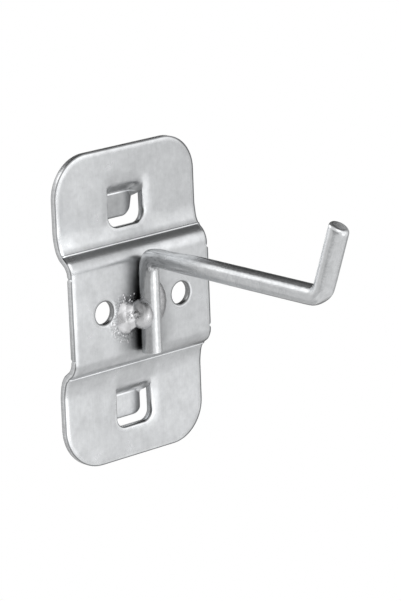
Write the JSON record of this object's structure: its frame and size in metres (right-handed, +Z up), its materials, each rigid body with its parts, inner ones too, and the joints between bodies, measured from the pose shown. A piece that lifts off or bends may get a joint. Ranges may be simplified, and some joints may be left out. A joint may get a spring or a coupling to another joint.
{
  "type": "tool trolley hook",
  "caption": "Single tool hook for a perforated panel: a pressed zinc-plated sheet plate with lanced hook tabs and a welded round wire arm with an upturned tip.",
  "frame": {"origin": "on the back plane of the two pads, midway between the two screw holes", "axes": "+Z up, +X to the right seen from the front, the wire arm points along -Y and the panel is on the +Y side"},
  "size_m": [0.0332, 0.0611, 0.0586],
  "materials": {
    "plated_sheet": "satin bright zinc plating on pressed sheet",
    "plated_wire": "satin bright zinc plating on drawn wire",
    "weld_metal": "plated weld metal, smooth with fine spatter"
  },
  "bodies": {
    "root": {"back_plate": "plated_sheet", "hook_rod": "plated_wire", "weld_nugget_left": "weld_metal", "weld_bead_right": "weld_metal"}
  },
  "joints": []
}
